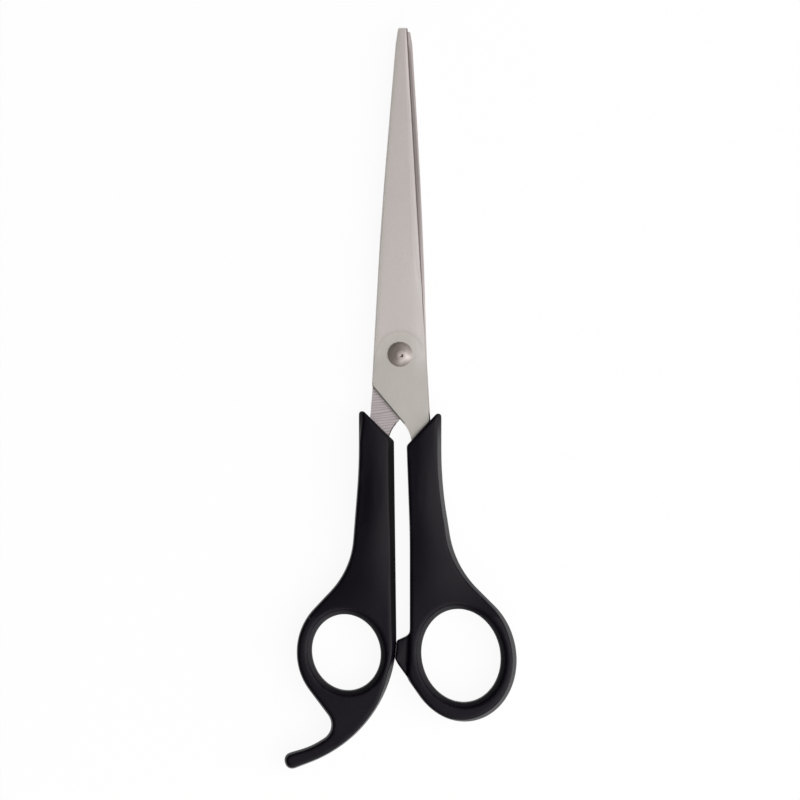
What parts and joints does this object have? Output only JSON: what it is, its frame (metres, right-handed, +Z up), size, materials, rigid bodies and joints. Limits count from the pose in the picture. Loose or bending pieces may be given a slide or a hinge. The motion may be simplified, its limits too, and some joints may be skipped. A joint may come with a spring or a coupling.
{
  "type": "fabric shears",
  "caption": "Slim fabric shears with straight ground steel blades on a domed rivet and moulded handles with oval finger bows, a finger rest and a closing stop.",
  "frame": {"origin": "centre of the overall box, at the surface that the shears lie on", "axes": "+Z up out of the front face, +Y along the length towards the points, +X towards the handle with the large bow"},
  "size_m": [0.0637, 0.2032, 0.0086],
  "materials": {
    "blade_steel": "satin ground stainless steel",
    "handle_plastic": "fine matt black moulded plastic",
    "rivet_steel": "turned steel with a soft shine"
  },
  "bodies": {
    "lower": {"rear_blade": "blade_steel", "left_handle": "handle_plastic", "pivot_rivet": "rivet_steel", "rivet_washer": "rivet_steel"},
    "upper": {"front_blade": "blade_steel", "right_handle": "handle_plastic"}
  },
  "joints": [
    {"name": "pivot", "type": "hinge", "parent": "lower", "child": "upper", "pos_m": [0, 0.012, 0.0043], "axis": [0, 0, 1], "range_deg": [0, 124]}
  ]
}
